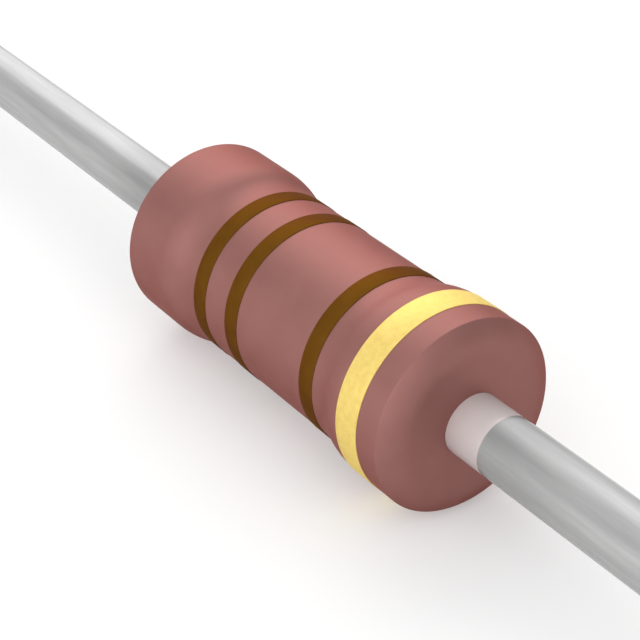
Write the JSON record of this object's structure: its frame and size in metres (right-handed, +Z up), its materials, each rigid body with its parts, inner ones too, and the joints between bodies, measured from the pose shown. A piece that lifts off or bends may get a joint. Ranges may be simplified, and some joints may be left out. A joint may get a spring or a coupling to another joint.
{
  "type": "axial resistor",
  "caption": "Lacquered dog-bone film resistor with straight tinned wire leads along its axis, three brown bands and a gold tolerance band.",
  "frame": {"origin": "middle of the lacquered body, on the axis of the leads", "axes": "+X along the leads towards the gold tolerance band's end, +Z up"},
  "size_m": [0.0618, 0.0026, 0.0026],
  "materials": {
    "ceramic": "fired, unglazed",
    "film": "dull carbon film",
    "cap_steel": "tinned, satin",
    "tinned_wire": "bright tin plate, drawn",
    "lacquer": "smooth pinkish red-brown lacquer",
    "brown_print": "printed, satin",
    "gold_print": "metallic gold print"
  },
  "bodies": {
    "root": {"ceramic_core": "ceramic", "resistive_film": "film", "end_cap_left": "cap_steel", "end_cap_right": "cap_steel", "lead_left": "tinned_wire", "lead_right": "tinned_wire", "lacquer_coat": "lacquer", "first_digit_band": "brown_print", "second_digit_band": "brown_print", "multiplier_band": "brown_print", "tolerance_band": "gold_print"}
  },
  "joints": []
}
